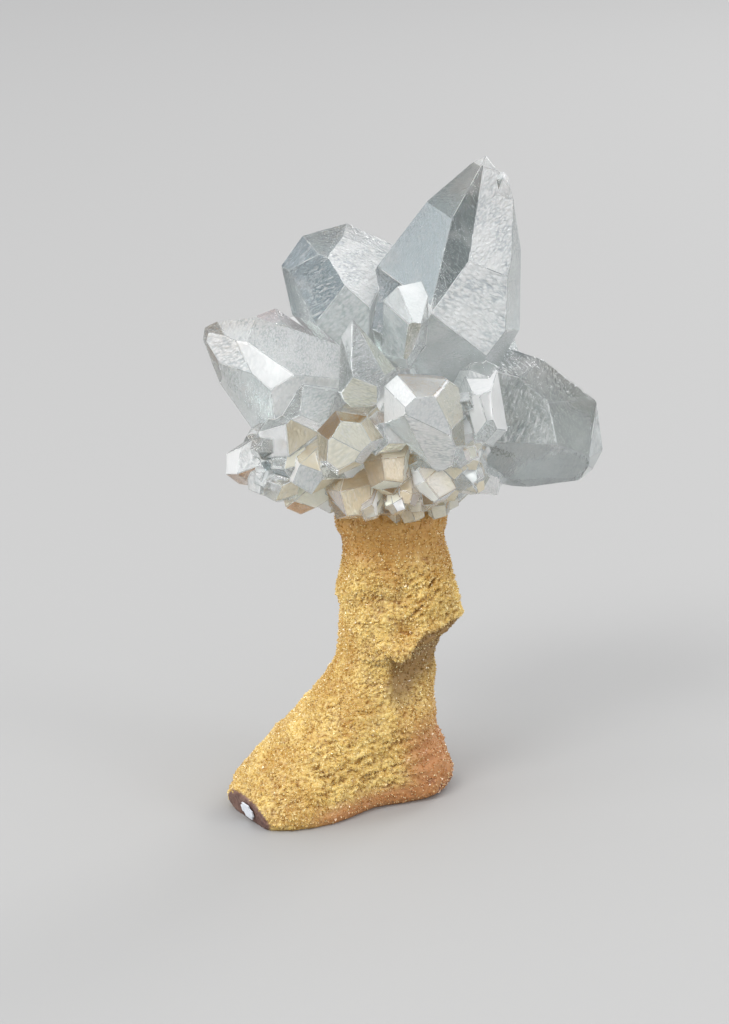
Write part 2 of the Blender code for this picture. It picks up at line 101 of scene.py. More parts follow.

# What a facet lets through or shows: its tint as linear red, green and blue. Most tints are painted light and shade:
# the greys, blues, slate and smoke are painted shade on facets that show dark, white and pale are painted light on
# bright facets over the real milkiness of cloudy calcite, and the warm tints near the stalactite paint its colour seen
# through the crystals. Rust is real, on the ends of the small crystals.
TINTS = {
    "white": (1.0, 1.0, 1.0),
    "pale": (0.88, 0.91, 0.91),
    "grey": (0.70, 0.74, 0.74),
    "ash": (0.55, 0.58, 0.56),
    "blue": (0.62, 0.70, 0.74),
    "slate": (0.38, 0.46, 0.51),
    "smoke": (0.20, 0.24, 0.25),
    "cream": (0.97, 0.93, 0.77),
    "olive": (0.66, 0.62, 0.48),
    "honey": (0.93, 0.81, 0.58),
    "rust": (0.72, 0.34, 0.12),
    "amber": (0.80, 0.60, 0.32),
    "mauve": (0.80, 0.72, 0.74),
}
CLARITY = {"clear": 0, "hazy": 1, "cloudy": 2}
WARM_CLARITY = ("clear", "hazy", "hazy", "cloudy", "cloudy")
USUAL_CLARITY = ("clear", "clear", "clear", "hazy", "hazy", "hazy", "cloudy", "cloudy")
EDGE_SLOT = 3
COOL_TINTS = ("white", "white", "white", "white", "white", "pale", "pale", "grey")
WARM_TINTS = ("cream", "cream", "cream", "cream", "white", "honey", "honey", "honey")

# Facets whose look is given: a point on the facet, its tint, which paints the light and shade it shows, its ripples,
# and how clear it is
FACET_LOOKS = (
    # The tall crystal, from its left facets over the dark blade to the right, then down
    ((3.4, -6.3, 149.2), "blue", 0.5, "hazy"),
    ((12.2, -1.2, 163.5), "blue", 0.4, "clear"),
    ((13.0, -12.1, 152.9), "smoke", 0.3, "clear"),
    ((22.0, -5.7, 155.4), "white", 1.6, "cloudy"),
    ((25.3, 0.9, 164.1), "white", 1.2, "cloudy"),
    ((21.6, 2.1, 170.2), "pale", 0.2, "hazy"),
    ((19.0, 1.5, 170.8), "pale", 0.2, "hazy"),
    ((17.7, -14.7, 136.1), "white", 1.5, "cloudy"),
    ((28.1, -2.4, 136.7), "pale", 0.5, "hazy"),
    ((28.6, 1.0, 152.0), "pale", 0.5, "hazy"),
    ((10.0, -17.0, 124.5), "grey", 0.4, "hazy"),
    ((25.1, -3.4, 122.4), "grey", 0.5, "hazy"),
    # The white triangle in front of it, and the facets round that
    ((1.6, -19.6, 138.8), "pale", 0.3, "cloudy"),
    ((-2.5, -19.0, 137.1), "pale", 0.5, "hazy"),
    ((-3.5, -19.5, 130.4), "grey", 0.9, "hazy"),
    ((1.1, -25.9, 130.2), "olive", 0.5, "clear"),
    ((-6.5, -3.4, 135.8), "slate", 0.8, "clear"),
    ((-7.6, -21.8, 125.1), "cream", 0.6, "clear"),
    # Upper left
    ((-12.8, 1.5, 142.8), "white", 1.4, "cloudy"),
    ((-10.7, 10.0, 149.1), "white", 1.4, "hazy"),
    ((-23.3, 1.8, 138.4), "slate", 1.2, "hazy"),
    ((-21.2, 7.5, 149.1), "blue", 0.9, "clear"),
    ((-28.1, 8.6, 145.1), "slate", 0.8, "hazy"),
    ((-29.2, 8.1, 133.3), "blue", 0.8, "clear"),
    ((-16.4, -2.8, 131.4), "pale", 0.8, "hazy"),
    # Left
    ((-28.9, -12.2, 123.9), "white", 0.9, "hazy"),
    ((-29.8, 9.1, 126.1), "mauve", 0.9, "hazy"),
    ((-36.2, 9.2, 128.2), "mauve", 0.6, "hazy"),
    ((-24.5, 6.3, 125.1), "mauve", 0.9, "hazy"),
    ((-37.0, -17.7, 121.0), "white", 0.3, "cloudy"),
    ((-40.9, -14.0, 113.1), "pale", 0.7, "hazy"),
    ((-28.8, -18.2, 114.7), "white", 0.9, "cloudy"),
    ((-23.1, -19.5, 111.3), "pale", 0.9, "hazy"),
    ((-46.5, -12.4, 123.4), "white", 0.9, "cloudy"),
    ((-44.0, -9.4, 129.1), "white", 0.9, "hazy"),
    # Between the left crystal and the front block
    ((-11.2, -24.9, 124.2), "grey", 0.8, "clear"),
    ((-12.2, -23.5, 114.9), "cream", 0.7, "cloudy"),
    ((-16.3, -22.8, 121.1), "ash", 0.8, "clear"),
    # The front block
    ((6.7, -32.5, 104.0), "white", 1.0, "cloudy"),
    ((5.0, -37.4, 113.2), "white", 0.5, "hazy"),
    ((10.8, -30.7, 114.1), "cream", 0.6, "hazy"),
    ((13.4, -29.5, 105.9), "olive", 0.4, "clear"),
    ((3.6, -31.7, 119.1), "pale", 0.3, "hazy"),
    ((-2.0, -32.5, 117.7), "white", 0.3, "cloudy"),
    ((-4.0, -31.0, 113.1), "white", 0.3, "cloudy"),
    ((-0.4, -29.8, 105.4), "pale", 0.5, "hazy"),
    # The amber block
    ((-14.2, -33.3, 106.3), "cream", 0.5, "hazy"),
    ((-17.3, -33.3, 101.6), "cream", 0.4, "cloudy"),
    ((-19.9, -30.1, 108.1), "amber", 0.3, "clear"),
    ((-14.2, -29.6, 110.1), "amber", 0.3, "clear"),
    ((-21.9, -29.7, 102.2), "amber", 0.3, "clear"),
    ((-10.2, -29.9, 101.2), "white", 0.3, "hazy"),
    # Low at the front, over the junction
    ((8.5, -25.3, 91.4), "cream", 0.4, "cloudy"),
    # The rusty outer ends of the small crystals at the lower left
    ((-44.0, -8.0, 87.7), "rust", 0.3, "hazy"),
    ((-42.2, -11.2, 90.2), "rust", 0.3, "hazy"),
    ((-33.0, -21.1, 93.5), "smoke", 0.3, "clear"),
    ((-28.0, -15.8, 82.3), "rust", 0.3, "hazy"),
    ((-31.1, -15.7, 83.9), "honey", 0.3, "hazy"),
    ((-36.8, -17.0, 94.0), "slate", 0.3, "clear"),
    ((-37.2, -19.7, 97.4), "smoke", 0.3, "clear"),
    ((-29.4, -21.6, 94.2), "white", 0.1, "cloudy"),
    ((-46.0, -7.6, 92.5), "white", 0.1, "cloudy"),
    # The bright facets at the right
    ((23.5, -18.4, 110.5), "white", 0.1, "cloudy"),
    ((18.2, -23.5, 109.6), "white", 0.1, "cloudy"),
    ((19.3, -18.9, 116.5), "white", 0.2, "cloudy"),
    ((20.8, -23.2, 111.7), "white", 0.1, "hazy"),
    ((20.0, -14.4, 119.6), "pale", 0.2, "clear"),
    # Right
    ((34.9, 5.0, 88.6), "grey", 0.5, "clear"),
    ((31.8, -0.2, 103.7), "ash", 1.3, "hazy"),
    ((44.9, 4.9, 99.7), "ash", 0.4, "clear"),
    ((39.0, 7.0, 109.6), "ash", 0.9, "clear"),
    ((29.9, 7.3, 115.6), "smoke", 0.6, "clear"),
    ((51.2, 9.2, 94.7), "pale", 0.4, "hazy"),
)

# Colours, as linear red, green and blue
GOLD = (0.80, 0.585, 0.19)
# Painted highlight on the druse's granules
HIGHLIGHT_GOLD = (0.90, 0.75, 0.39)
OCHRE = (0.62, 0.40, 0.10)
AMBER = (0.46, 0.22, 0.04)
# Painted shade in the druse's hollows
HOLLOW_SHADE = (0.26, 0.10, 0.018)
ROSE_TAN = (0.45, 0.175, 0.06)
# Painted shade on the broken face at the toe, which faces down
BROKEN_FACE_SHADE = (0.11, 0.045, 0.03)
# Painted shade low on the foot's right, where it curves under to the floor
FOOT_SHADE_RED = (0.20, 0.05, 0.02)
# Painted shade under the ledge on the front
SHADED_OCHRE = (0.22, 0.115, 0.03)


def add_node(tree, kind, settings=None, **inputs):
    """A new node. Each input is named: a socket is linked to it, and anything else is set as its value."""
    made = tree.nodes.new(kind)
    for name, value in (settings or {}).items():
        setattr(made, name, value)
    for name, value in inputs.items():
        plug(tree, made.inputs[name.replace("_", " ")], value)
    return made


def plug(tree, socket, value):
    if isinstance(value, bpy.types.NodeSocket):
        tree.links.new(value, socket)
    else:
        socket.default_value = value


def maths(tree, operation, first, second=0.0, clamp=False):
    made = tree.nodes.new("ShaderNodeMath")
    made.operation = operation
    made.use_clamp = clamp
    plug(tree, made.inputs[0], first)
    plug(tree, made.inputs[1], second)
    return made.outputs[0]


def noise_value(tree, place, scale, detail=3.0, roughness=0.55, distortion=0.0, dimensions="3D"):
    """Noise between 0 and 1 at this place."""
    made = add_node(
        tree, "ShaderNodeTexNoise", {"noise_dimensions": dimensions},
        Vector=place, Scale=scale, Detail=detail, Roughness=roughness, Distortion=distortion,
    )
    return made.outputs["Fac"]


def remap(tree, value, low, high, to_low=0.0, to_high=1.0):
    """The value moved from one range to another, and held inside it."""
    made = add_node(tree, "ShaderNodeMapRange", {"interpolation_type": "SMOOTHSTEP"}, Value=value)
    for name, number in (("From Min", low), ("From Max", high), ("To Min", to_low), ("To Max", to_high)):
        plug(tree, made.inputs[name], number)
    return made.outputs["Result"]


def mix_colours(tree, share, first, second, blend_type="MIX"):
    made = tree.nodes.new("ShaderNodeMix")
    made.data_type = "RGBA"
    made.blend_type = blend_type
    plug(tree, made.inputs["Factor"], share)
    plug(tree, made.inputs["A"], whole(first))
    plug(tree, made.inputs["B"], whole(second))
    return made.outputs["Result"]


def whole(colour):
    """A colour with its alpha, or a socket as it is."""
    if isinstance(colour, bpy.types.NodeSocket):
        return colour
    return (*colour, 1.0)


def new_material(name):
    material = bpy.data.materials.new(name)
    material.use_nodes = True
    return material, material.node_tree, material.node_tree.nodes["Principled BSDF"]


def new_piece(name, mesh, slot, *materials):
    """A finished piece of the specimen, which rides on its only body."""
    piece = bpy.data.objects.new(name, mesh)
    bpy.context.scene.collection.objects.link(piece)
    for number, material in enumerate(materials):
        if number < len(mesh.materials):
            mesh.materials[number] = material
        else:
            mesh.materials.append(material)
    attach(piece, "root")
    return piece


def merged_shape(node):
    """A CAD node's shape as a bmesh, with its loose triangles joined."""
    shape = bmesh.new()
    shape.from_mesh(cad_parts[node].data)
    bmesh.ops.remove_doubles(shape, verts=shape.verts, dist=0.002 * MM)
    return shape


def plain_mesh(shape, name):
    mesh = bpy.data.meshes.new(name)
    shape.to_mesh(mesh)
    shape.free()
    return mesh


def evaluated_mesh(piece, name):
    """The mesh that an object's modifiers make."""
    graph = bpy.context.evaluated_depsgraph_get()
    mesh = bpy.data.meshes.new_from_object(piece.evaluated_get(graph))
    mesh.name = name
    return mesh


def smooth_step(low, high, value):
    share = np.clip((value - low) / (high - low), 0.0, 1.0)
    return share * share * (3 - 2 * share)


def points_of(mesh):
    """A mesh's vertices in millimetres, as one array."""
    flat = np.empty(len(mesh.vertices) * 3)
    mesh.vertices.foreach_get("co", flat)
    return flat.reshape(-1, 3) / MM


def normals_of(mesh):
    flat = np.empty(len(mesh.vertices) * 3)
    mesh.vertex_normals.foreach_get("vector", flat)
    return flat.reshape(-1, 3)


def add_values(mesh, name, values):
    """Keeps one number for each vertex, which a material or a tree can read by this name."""
    layer = mesh.attributes.new(name, "FLOAT", "POINT")
    layer.data.foreach_set("value", values.astype(np.float32))


# The stalactite

def ridges(point, slope, length, width):
    """Long ridges, from -1.6 between them to 1 on their crests. Their slope on the front is in degrees."""
    turn = math.radians(slope)
    along = point.x * math.cos(turn) + point.z * math.sin(turn)
    across = point.z * math.cos(turn) - point.x * math.sin(turn)
    drawn = Vector((along / length, 2 * point.y / (length + width), across / width))
    wander = noise.noise_vector(point / 2.5) * 0.45
    return 1.0 - abs(noise.noise(drawn + wander)) * 2.6


def druse_relief(points, ribbed, rippled):
    """How far the druse stands out at each point, and how deep in a hollow each lies (0 to 1)."""
    relief = np.empty(len(points))
    hollow = np.empty(len(points))
    for number, place in enumerate(points):
        point = Vector(place)
        granule = 1.0 - 1.5 * noise.voronoi(point / GRANULE_WIDTH)[0][0]
        worm = ridges(point, 40.0 * noise.noise(point / 9.0), *WORM[1:])
        swell = noise.noise(point / SWELL_WIDTH)
        relief[number] = GRANULE_RELIEF * granule + WORM[0] * (worm - 0.5) + SWELL_RELIEF * swell
        hollow[number] = 0.55 - 0.45 * granule - 0.4 * worm - 0.3 * swell
        if ribbed[number] > 0.01:
            rib = ridges(point, RIB_SLOPE, *RIB[1:])
            relief[number] += ribbed[number] * RIB[0] * (rib - 0.3)
            hollow[number] -= ribbed[number] * 0.35 * rib
        if rippled[number] > 0.01:
            ripple = ridges(point, RIPPLE_SLOPE, *RIPPLE[1:])
            relief[number] += rippled[number] * RIPPLE[0] * (ripple - 0.3)
            hollow[number] -= rippled[number] * 0.35 * ripple
    return relief, np.clip(hollow, 0.0, 1.0)


def front_zones(points):
    """The share, from 0 to 1, of each zone of the stalactite's front at each point."""
    x, y, z = points.T
    front = 1 - smooth_step(-2.0, 6.0, y)
    right = smooth_step(-2.0, 3.0, x)
    lip_x, lip_z = np.array(LEDGE_LIP).T
    below = np.interp(x, lip_x, lip_z) - z
    on_ledge = front * smooth_step(-8.5, -5.0, x)
    on_ledge *= 1 - smooth_step(6.0, 11.0, x)
    lip = on_ledge * smooth_step(-4.0, -0.3, below) * (1 - smooth_step(0.0, 0.9, below))
    undercut = front * smooth_step(0.1, 1.2, below) * (1 - smooth_step(10.0, 18.0, below)) * smooth_step(-6.0, -2.5, x)
    ribs = front * right * smooth_step(48.0, 53.0, z) * (1 - smooth_step(61.0, 66.0, z))
    reach = smooth_step(-30.0, -22.0, x) * (1 - smooth_step(-2.0, 5.0, x))
    ripples = front * reach * smooth_step(4.0, 8.0, z) * (1 - smooth_step(18.0, 24.0, z))
    low = 1 - smooth_step(3.0, 8.0, z - 0.10 * (x + 10.0))
    heel = smooth_step(-4.0, 5.0, x) * (1 - smooth_step(14.0, 30.0, z))
    rose = np.maximum(low * smooth_step(-30.0, -18.0, x), heel)
    return {"lip": lip, "undercut": undercut, "ribs": ribs, "ripples": ripples, "rose": rose}


def stalactite_mesh():
    """The stalactite's solid with the druse's relief, and the values that its colours are made from."""
    source = bpy.data.objects.new("stalactite_source", plain_mesh(merged_shape("stalactite"), "source"))
    bpy.context.scene.collection.objects.link(source)
    remesh = source.modifiers.new("even", "REMESH")
    remesh.mode = "VOXEL"
    remesh.voxel_size = STALACTITE_VOXEL * MM
    remesh.use_smooth_shade = True
    mesh = evaluated_mesh(source, "stalactite_druse")
    bpy.data.objects.remove(source)

    points = points_of(mesh)
    normals = normals_of(mesh)
    height = points[:, 2]
    to_break = (np.array(BREAK_POINT) - points) @ np.array(BREAK_FACES)
    broken = 1 - smooth_step(*BREAK_DEPTH, to_break)
    band = smooth_step(*BAND_HEIGHTS, height)
    underside = 1 - smooth_step(0.15, 1.2, height)
    zones = front_zones(points)
    relief, hollow = druse_relief(points, zones["ribs"], zones["ripples"])
    calm = (1 - 0.6 * band) * (1 - underside) * (1 - 0.8 * broken)
    calm *= (1 - 0.6 * zones["rose"]) * (1 - 0.7 * zones["undercut"])
    relief = relief * calm + LIP_RELIEF * zones["lip"] - UNDERCUT * zones["undercut"]
    points += normals * relief[:, None]
    points[:, 2] = np.maximum(points[:, 2], 0.0)
    mesh.vertices.foreach_set("co", (points * MM).ravel())
    # How deep in a hollow each point lies, by which its colour darkens as painted shade
    add_values(mesh, "hollow", hollow * (1 - 0.5 * zones["rose"]))
    add_values(mesh, "broken", broken)
    add_values(mesh, "rose", zones["rose"])
    # Where the colour gets painted shade under the ledge
    add_values(mesh, "shaded", zones["undercut"])
    cover = (1 - broken) * smooth_step(0.6, 1.8, height) * (1 - 0.45 * band)
    cover *= (1 - 0.45 * zones["rose"]) * (1 - 0.5 * zones["undercut"])
    add_values(mesh, "grain_cover", cover)
    mesh.update()
    return mesh


def grain_shape():
    """One little crystal: three faces that meet in a point, on a sunken base. Its sizes are those of 1 mm."""
    corners = [(math.cos(turn), math.sin(turn), -0.45) for turn in (0.0, math.tau / 3, math.tau * 2 / 3)]
    points = [tuple(0.58 * MM * value for value in corner) for corner in corners] + [(0.0, 0.0, 0.62 * MM)]
    mesh = bpy.data.meshes.new("grain_shape")
    mesh.from_pydata(points, [], [(0, 1, 3), (1, 2, 3), (2, 0, 3), (2, 1, 0)])
    grain = bpy.data.objects.new("grain_shape", mesh)
    bpy.context.scene.collection.objects.link(grain)
    return grain


def tree_input(tree, name, kind, value=None):
    socket = tree.interface.new_socket(name=name, in_out="INPUT", socket_type=kind)
    if value is not None:
        socket.default_value = value
    return socket


def grain_tree(material):
    """Scatters a small crystal over a surface: more where its grain_cover is high, at random sizes."""
    tree = bpy.data.node_groups.new("druse_grains", "GeometryNodeTree")
    tree_input(tree, "Surface", "NodeSocketGeometry")
    tree_input(tree, "Grain", "NodeSocketObject")
    tree_input(tree, "Density", "NodeSocketFloat", 1.0)
    tree_input(tree, "Smallest", "NodeSocketFloat", 0.6)
    tree_input(tree, "Largest", "NodeSocketFloat", 1.2)
    tree_input(tree, "Tilt", "NodeSocketFloat", 0.6)
    tree_input(tree, "Seed", "NodeSocketInt", 3)
    tree.interface.new_socket(name="Grains", in_out="OUTPUT", socket_type="NodeSocketGeometry")
    given = tree.nodes.new("NodeGroupInput").outputs
    cover = add_node(tree, "GeometryNodeInputNamedAttribute", {"data_type": "FLOAT"}, Name="grain_cover")
    spread = add_node(
        tree, "GeometryNodeDistributePointsOnFaces",
        Mesh=given["Surface"], Seed=given["Seed"],
        Density=maths(tree, "MULTIPLY", given["Density"], cover.outputs["Attribute"]),
    )
    grain = add_node(tree, "GeometryNodeObjectInfo", Object=given["Grain"])
    lean = tree.nodes.new("FunctionNodeRandomValue")
    lean.data_type = "FLOAT_VECTOR"
    plug(tree, lean.inputs["Seed"], given["Seed"])
    upright = maths(tree, "MULTIPLY", given["Tilt"], -1.0)
    low = add_node(tree, "ShaderNodeCombineXYZ", X=upright, Y=upright, Z=-math.pi)
    high = add_node(tree, "ShaderNodeCombineXYZ", X=given["Tilt"], Y=given["Tilt"], Z=math.pi)
    plug(tree, lean.inputs["Min"], low.outputs[0])
    plug(tree, lean.inputs["Max"], high.outputs[0])
    turned = add_node(
        tree, "FunctionNodeRotateEuler", {"space": "LOCAL"},
        Rotation=spread.outputs["Rotation"], Rotate_By=lean.outputs["Value"],
    )
    size = add_node(
        tree, "FunctionNodeRandomValue", {"data_type": "FLOAT"}, Seed=given["Seed"],
    )
    plug(tree, size.inputs[2], given["Smallest"])
    plug(tree, size.inputs[3], given["Largest"])
    placed = add_node(
        tree, "GeometryNodeInstanceOnPoints",
        Points=spread.outputs["Points"], Instance=grain.outputs["Geometry"],
        Rotation=turned.outputs["Rotation"], Scale=size.outputs[1],
    )
    real = add_node(tree, "GeometryNodeRealizeInstances", Geometry=placed.outputs["Instances"])
    dressed = add_node(tree, "GeometryNodeSetMaterial", Geometry=real.outputs["Geometry"], Material=material)
    plug(tree, tree.nodes.new("NodeGroupOutput").inputs["Grains"], dressed.outputs["Geometry"])
    return tree


def grain_mesh(surface, name, material, **values):
    """The grains that the tree scatters over a surface, as one plain mesh."""
    tree = bpy.data.node_groups.get("druse_grains") or grain_tree(material)
    carrier = bpy.data.objects.new("grain_carrier", surface)
    bpy.context.scene.collection.objects.link(carrier)
    scatter = carrier.modifiers.new("scatter", "NODES")
    scatter.node_group = tree
    sockets = {item.name: item.identifier for item in tree.interface.items_tree if item.in_out == "INPUT"}
    for label, value in values.items():
        scatter[sockets[label]] = value
    mesh = evaluated_mesh(carrier, name)
    bpy.data.objects.remove(carrier)
    return mesh


def ochre_zones():
    """A shader group: the stalactite's colour by its zones, mottled, with painted highlight flecks, painted shade in
    the hollows and under the ledge, and painted shade low on the foot's right.
    """
    tree = bpy.data.node_groups.new("ochre_zones", "ShaderNodeTree")
    for name, kind, value in (
        ("Place", "NodeSocketVector", None),
        ("Hollow", "NodeSocketFloat", 0.5),
        ("Depth", "NodeSocketFloat", 1.0),
        ("Rose", "NodeSocketFloat", 0.0),
        ("Shaded", "NodeSocketFloat", 0.0),
    ):
        tree_input(tree, name, kind, value)
    tree.interface.new_socket(name="Colour", in_out="OUTPUT", socket_type="NodeSocketColor")
    given = tree.nodes.new("NodeGroupInput").outputs
    parts = add_node(tree, "ShaderNodeSeparateXYZ", Vector=given["Place"]).outputs
    patches = noise_value(tree, given["Place"], 90.0, 4.0, 0.6)
    highlight_specks = noise_value(tree, given["Place"], 900.0, 2.0, 0.6)
    lit = mix_colours(tree, remap(tree, patches, 0.42, 0.62), GOLD, OCHRE)
    # Painted highlights: fine pale gold flecks over the druse
    lit = mix_colours(tree, remap(tree, highlight_specks, 0.5, 0.75, 0.0, 0.5), lit, HIGHLIGHT_GOLD)
    # Painted shade in the hollows: a mottled dark amber that the druse darkens towards by the depth of each hollow
    dark = mix_colours(tree, remap(tree, patches, 0.35, 0.65), HOLLOW_SHADE, AMBER)
    depth = maths(tree, "MULTIPLY", given["Hollow"], given["Depth"], clamp=True)
    druse = mix_colours(tree, depth, lit, dark)
    height = maths(tree, "ADD", parts["Z"], maths(tree, "MULTIPLY", patches, 0.012))
    band = remap(tree, height, 0.067, 0.076)
    with_band = mix_colours(tree, maths(tree, "MULTIPLY", band, 0.75), druse, AMBER)
    rosy = mix_colours(tree, maths(tree, "MULTIPLY", given["Rose"], 0.85), with_band, ROSE_TAN)
    # Painted shade low on the foot's right, where it curves under towards the floor: dark reddish patches
    shade_patches = remap(tree, noise_value(tree, given["Place"], 260.0, 3.0, 0.6), 0.54, 0.62)
    edge = remap(tree, parts["Z"], 0.002, 0.009, 1.0, 0.0)
    corner = remap(tree, parts["X"], 0.0, 0.006)
    floor_shade = maths(tree, "MULTIPLY", shade_patches, maths(tree, "MULTIPLY", edge, corner))
    floor_shaded = mix_colours(tree, floor_shade, rosy, FOOT_SHADE_RED)
    # Painted shade under the ledge
    colour = mix_colours(tree, maths(tree, "MULTIPLY", given["Shaded"], 0.85), floor_shaded, SHADED_OCHRE)
    plug(tree, tree.nodes.new("NodeGroupOutput").inputs["Colour"], colour)
    return tree


def zone_colour(tree, zones, depth):
    """The ochre zones in a material's tree, read from the mesh's place and its hollows."""
    place = tree.nodes.new("ShaderNodeTexCoord").outputs["Object"]
    hollow = add_node(tree, "ShaderNodeAttribute", {"attribute_name": "hollow"}).outputs["Fac"]
    rose = add_node(tree, "ShaderNodeAttribute", {"attribute_name": "rose"}).outputs["Fac"]
    shaded = add_node(tree, "ShaderNodeAttribute", {"attribute_name": "shaded"}).outputs["Fac"]
    group = add_node(
        tree, "ShaderNodeGroup", {"node_tree": zones},
        Place=place, Hollow=hollow, Depth=depth, Rose=rose, Shaded=shaded,
    )
    return group.outputs["Colour"], place


def druse_material(zones):
    material, tree, shader = new_material("ochre_druse")
    colour, place = zone_colour(tree, zones, 1.1)
    broken = add_node(tree, "ShaderNodeAttribute", {"attribute_name": "broken"}).outputs["Fac"]
    shade_patches = noise_value(tree, place, 320.0, 4.0, 0.65)
    # Painted shade: the downward broken face is dark, in patches
    broken_shade = mix_colours(tree, remap(tree, shade_patches, 0.4, 0.65), BROKEN_FACE_SHADE, (0.22, 0.12, 0.09))
    plug(tree, shader.inputs["Base Color"], mix_colours(tree, broken, colour, broken_shade))
    grit = noise_value(tree, place, 1500.0, 3.0, 0.6)
    plug(tree, shader.inputs["Roughness"], remap(tree, grit, 0.3, 0.7, 0.35, 0.6))
    bump = add_node(tree, "ShaderNodeBump", Height=grit, Strength=0.6, Distance=0.3 * MM)
    plug(tree, shader.inputs["Normal"], bump.outputs["Normal"])
    shader.inputs["IOR"].default_value = 1.6
    return material


def grain_material(zones):
    material, tree, shader = new_material("druse_grains")
    colour, place = zone_colour(tree, zones, 1.0)
    glint_specks = noise_value(tree, place, 2200.0, 1.0, 0.5)
    # Painted glints: the grains turn pale gold in fine flecks, which are also glossier
    pale = mix_colours(tree, remap(tree, glint_specks, 0.52, 0.68, 0.0, 0.8), colour, (0.98, 0.88, 0.52))
    plug(tree, shader.inputs["Base Color"], pale)
    plug(tree, shader.inputs["Roughness"], remap(tree, glint_specks, 0.3, 0.7, 0.3, 0.16))
    shader.inputs["IOR"].default_value = 1.6
    return material


def build_stalactite():
    zones = ochre_zones()
    mesh = stalactite_mesh()
    area = sum(face.area for face in mesh.polygons)
    grain = grain_shape()
    material = grain_material(zones)
    grains = grain_mesh(
        mesh, "druse_grains", material,
        Grain=grain, Density=GRAIN_COUNT / area, Smallest=0.45, Largest=0.95, Tilt=0.6, Seed=3,
    )
    bpy.data.objects.remove(grain)
    body = new_piece("stalactite_druse", mesh, "ochre_calcite", druse_material(zones))
    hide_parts("stalactite")
    new_piece("druse_grains", grains, "ochre_calcite", material)


# The crystals

def close_holes(shape):
    """Closes each hole with one face."""
    rim = [edge for edge in shape.edges if edge.is_boundary]
    bmesh.ops.holes_fill(shape, edges=rim, sides=0)


def drop_slivers(shape):
    """Takes away the faces without area that lie back to back on the same three vertices."""
    found = {}
    for face in shape.faces:
        found.setdefault(frozenset(face.verts), []).append(face)
    doubled = [face for faces in found.values() if len(faces) > 1 for face in faces]
    bmesh.ops.delete(shape, geom=doubled, context="FACES")


def open_socket(shape):
    """Takes away the socket's faces and closes the cluster across it, so that the stalactite's end is inside."""
    solid = merged_shape("stalactite")
    surface = BVHTree.FromBMesh(solid)
    solid.free()
    reach = SOCKET_REACH * MM
    on_socket = {vertex for vertex in shape.verts if surface.find_nearest(vertex.co, reach)[0] is not None}
    lining = [face for face in shape.faces if all(vertex in on_socket for vertex in face.verts)]
    bmesh.ops.delete(shape, geom=lining, context="FACES")
    close_holes(shape)
    loose = [vertex for vertex in shape.verts if not vertex.link_faces]
    bmesh.ops.delete(shape, geom=loose, context="VERTS")


def lay_facet_map(shape):
    """Gives each facet a map of its own in centimetres, in which up is outwards from the cluster's middle."""
    layer = shape.loops.layers.uv.new("facets")
    middle = Vector(CLUSTER_MIDDLE) * MM
    draw = random.Random(5)
    for face in shape.faces:
        outward = face.calc_center_median() - middle
        up = outward - outward.project(face.normal)
        up = up.normalized() if up.length > 1e-6 else Vector((0, 0, 1)).cross(face.normal).normalized()
        across = up.cross(face.normal)
        shift = Vector((draw.uniform(-50, 50), draw.uniform(-50, 50)))
        turn = Matrix.Rotation(draw.uniform(-0.9, 0.9), 2)
        scale = 100 * draw.uniform(0.65, 1.35)
        for loop in face.loops:
            place = turn @ Vector((across.dot(loop.vert.co), up.dot(loop.vert.co))) * scale
            loop[layer].uv = place + shift


def finish_facets(shape):
    """Gives each facet its tint, which paints its light and shade, its ripples and its cloud, at random or as the list
    of facets says.
    """
    tint = shape.faces.layers.float_color.new("tint")
    ripple = shape.faces.layers.float.new("ripple")
    draw = random.Random(8)
    heart = Vector(WARM_HEART) * MM
    for face in shape.faces:
        away = (face.calc_center_median() - heart).length / MM
        warm = 1 - smooth_step(*WARM_REACH, away)
        is_warm = draw.random() < warm
        face[tint] = (*TINTS[draw.choice(WARM_TINTS if is_warm else COOL_TINTS)], 1.0)
        face[ripple] = draw.uniform(0.1, 0.4 if is_warm else 0.9)
        face.material_index = CLARITY[draw.choice(WARM_CLARITY if is_warm else USUAL_CLARITY)]
    tree = BVHTree.FromBMesh(shape)
    shape.faces.ensure_lookup_table()
    for place, name, ripples, clarity in FACET_LOOKS:
        face = shape.faces[tree.find_nearest(Vector(place) * MM)[2]]
        face[tint] = (*TINTS[name], 1.0)
        face[ripple] = ripples
        face.material_index = CLARITY[clarity]


